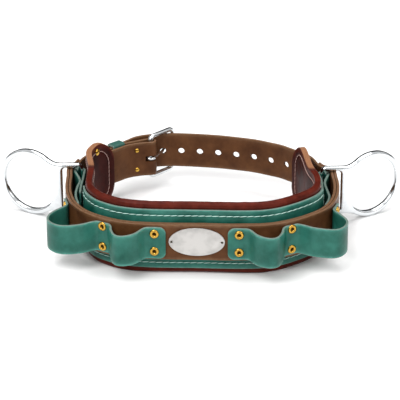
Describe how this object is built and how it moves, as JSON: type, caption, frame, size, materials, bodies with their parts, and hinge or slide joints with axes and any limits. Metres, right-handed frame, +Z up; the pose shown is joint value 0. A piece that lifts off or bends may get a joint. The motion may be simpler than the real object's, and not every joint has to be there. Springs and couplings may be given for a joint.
{
  "type": "lineman belt",
  "caption": "Padded leather work belt with a buckled strap, folded tool loops, a bare oval plate and D-rings on swivelling bars.",
  "frame": {"origin": "centre of the bounding box's bottom, on the surface that the belt stands on", "axes": "+X to the right in a front view, +Y from the name plate to the buckle, +Z up"},
  "size_m": [0.489, 0.3032, 0.0895],
  "materials": {
    "burgundy_leather": "oiled, satin",
    "green_leather": "waxed, satin",
    "dark_green_leather": "waxed, satin",
    "brown_leather": "oiled, satin",
    "brass": "polished",
    "plated_steel": "bright plating",
    "brushed_plate": "brushed"
  },
  "bodies": {
    "belt": {"body_pad": "burgundy_leather", "pad_face": "green_leather", "waist_strap": "brown_leather", "strap_facing": "brown_leather", "name_plate": "brushed_plate", "plate_pin_left": "brushed_plate", "plate_pin_right": "brushed_plate", "tool_loop_left": "green_leather", "tool_loop_right": "green_leather", "loop_rivet_left_inner_upper": "brass", "loop_rivet_left_inner_lower": "brass", "loop_rivet_left_middle_upper": "brass", "loop_rivet_left_middle_lower": "brass", "loop_rivet_left_outer_upper": "brass", "loop_rivet_left_outer_lower": "brass", "loop_rivet_right_inner_upper": "brass", "loop_rivet_right_inner_lower": "brass", "loop_rivet_right_middle_upper": "brass", "loop_rivet_right_middle_lower": "brass", "loop_rivet_right_outer_upper": "brass", "loop_rivet_right_outer_lower": "brass", "ring_wrap_left": "green_leather", "ring_wrap_right": "green_leather", "buckle_frame": "plated_steel", "buckle_prong": "plated_steel", "keeper": "dark_green_leather", "buckle_rivet_upper": "brass", "buckle_rivet_lower": "brass", "tongue_rivet": "brass"},
    "left_ring": {"d_ring_left": "plated_steel"},
    "right_ring": {"d_ring_right": "plated_steel"}
  },
  "joints": [
    {"name": "left_ring_swing", "type": "hinge", "parent": "belt", "child": "left_ring", "pos_m": [-0.1445, 0.02885, 0.04274], "axis": [0, 0, -1], "range_deg": [-7, 43]},
    {"name": "right_ring_swing", "type": "hinge", "parent": "belt", "child": "right_ring", "pos_m": [0.1495, 0.02885, 0.04274], "axis": [0, 0, 1], "range_deg": [-15, 35]}
  ]
}
